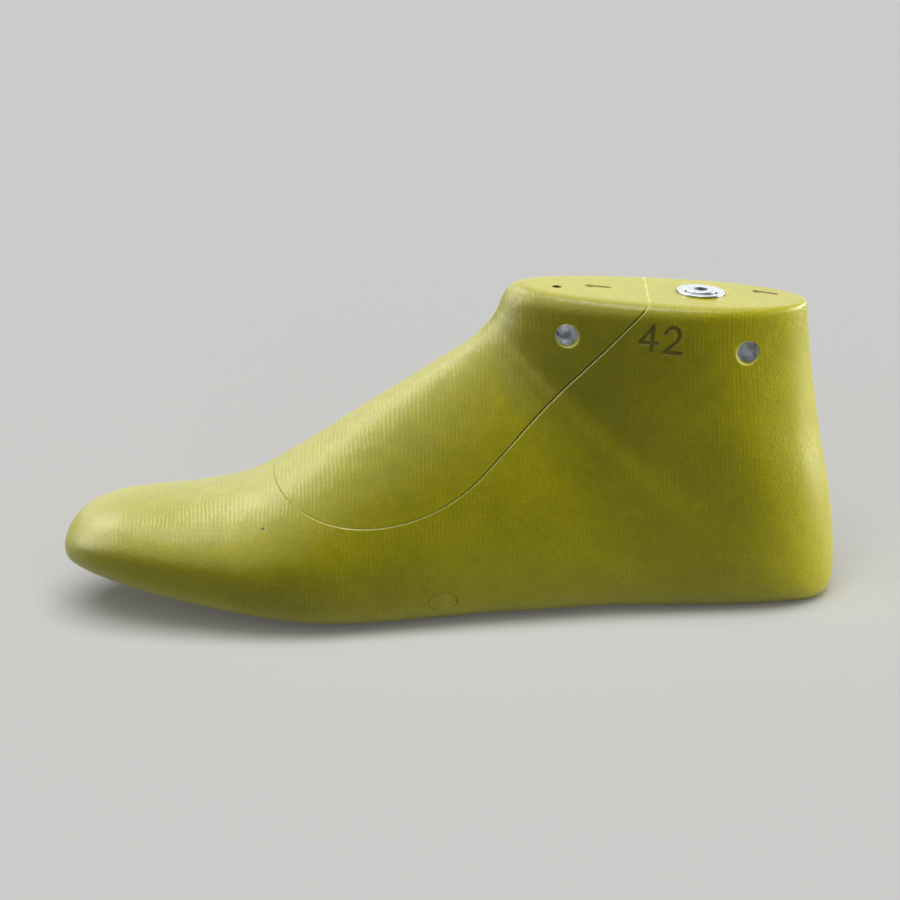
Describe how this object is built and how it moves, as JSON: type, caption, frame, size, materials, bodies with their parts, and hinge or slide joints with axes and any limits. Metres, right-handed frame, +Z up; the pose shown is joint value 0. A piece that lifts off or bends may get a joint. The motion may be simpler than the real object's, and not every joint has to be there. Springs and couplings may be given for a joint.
{
  "type": "cobbler last",
  "caption": "Plastic shoe last with a lift-off instep block that slides on a rail, steel-lined hook holes and a flanged jack thimble in the cone top.",
  "frame": {"origin": "on the ground, under the middle of the last's length and width", "axes": "+X from toe to heel, +Y to the lateral side, +Z up from the sole to the cone"},
  "size_m": [0.2806, 0.0964, 0.119],
  "materials": {
    "hdpe_olive": "turned polyethylene, satin, with fine tool ridges",
    "plug_plastic": "polyethylene, sanded flush",
    "zinc_plated_steel": "bright zinc plate",
    "drawn_steel_tube": "cold drawn, bare",
    "spring_steel": "tempered, dark"
  },
  "bodies": {
    "body": {"last_body": "hdpe_olive", "waist_plug": "plug_plastic", "rear_hook_tube": "drawn_steel_tube", "jack_thimble": "zinc_plated_steel", "thimble_screw": "zinc_plated_steel", "tongue_plate": "zinc_plated_steel", "tongue_screw_lower": "zinc_plated_steel", "tongue_screw_upper": "zinc_plated_steel"},
    "block": {"instep_block": "hdpe_olive", "front_hook_tube": "drawn_steel_tube", "keeper_channel": "zinc_plated_steel", "keeper_screw_lower": "zinc_plated_steel", "keeper_screw_upper": "zinc_plated_steel", "catch_spring": "spring_steel"}
  },
  "joints": [
    {"name": "block_slide", "type": "slide", "parent": "body", "child": "block", "axis": [0.7193, 0, 0.6947], "range_m": [0, 0.12]}
  ]
}
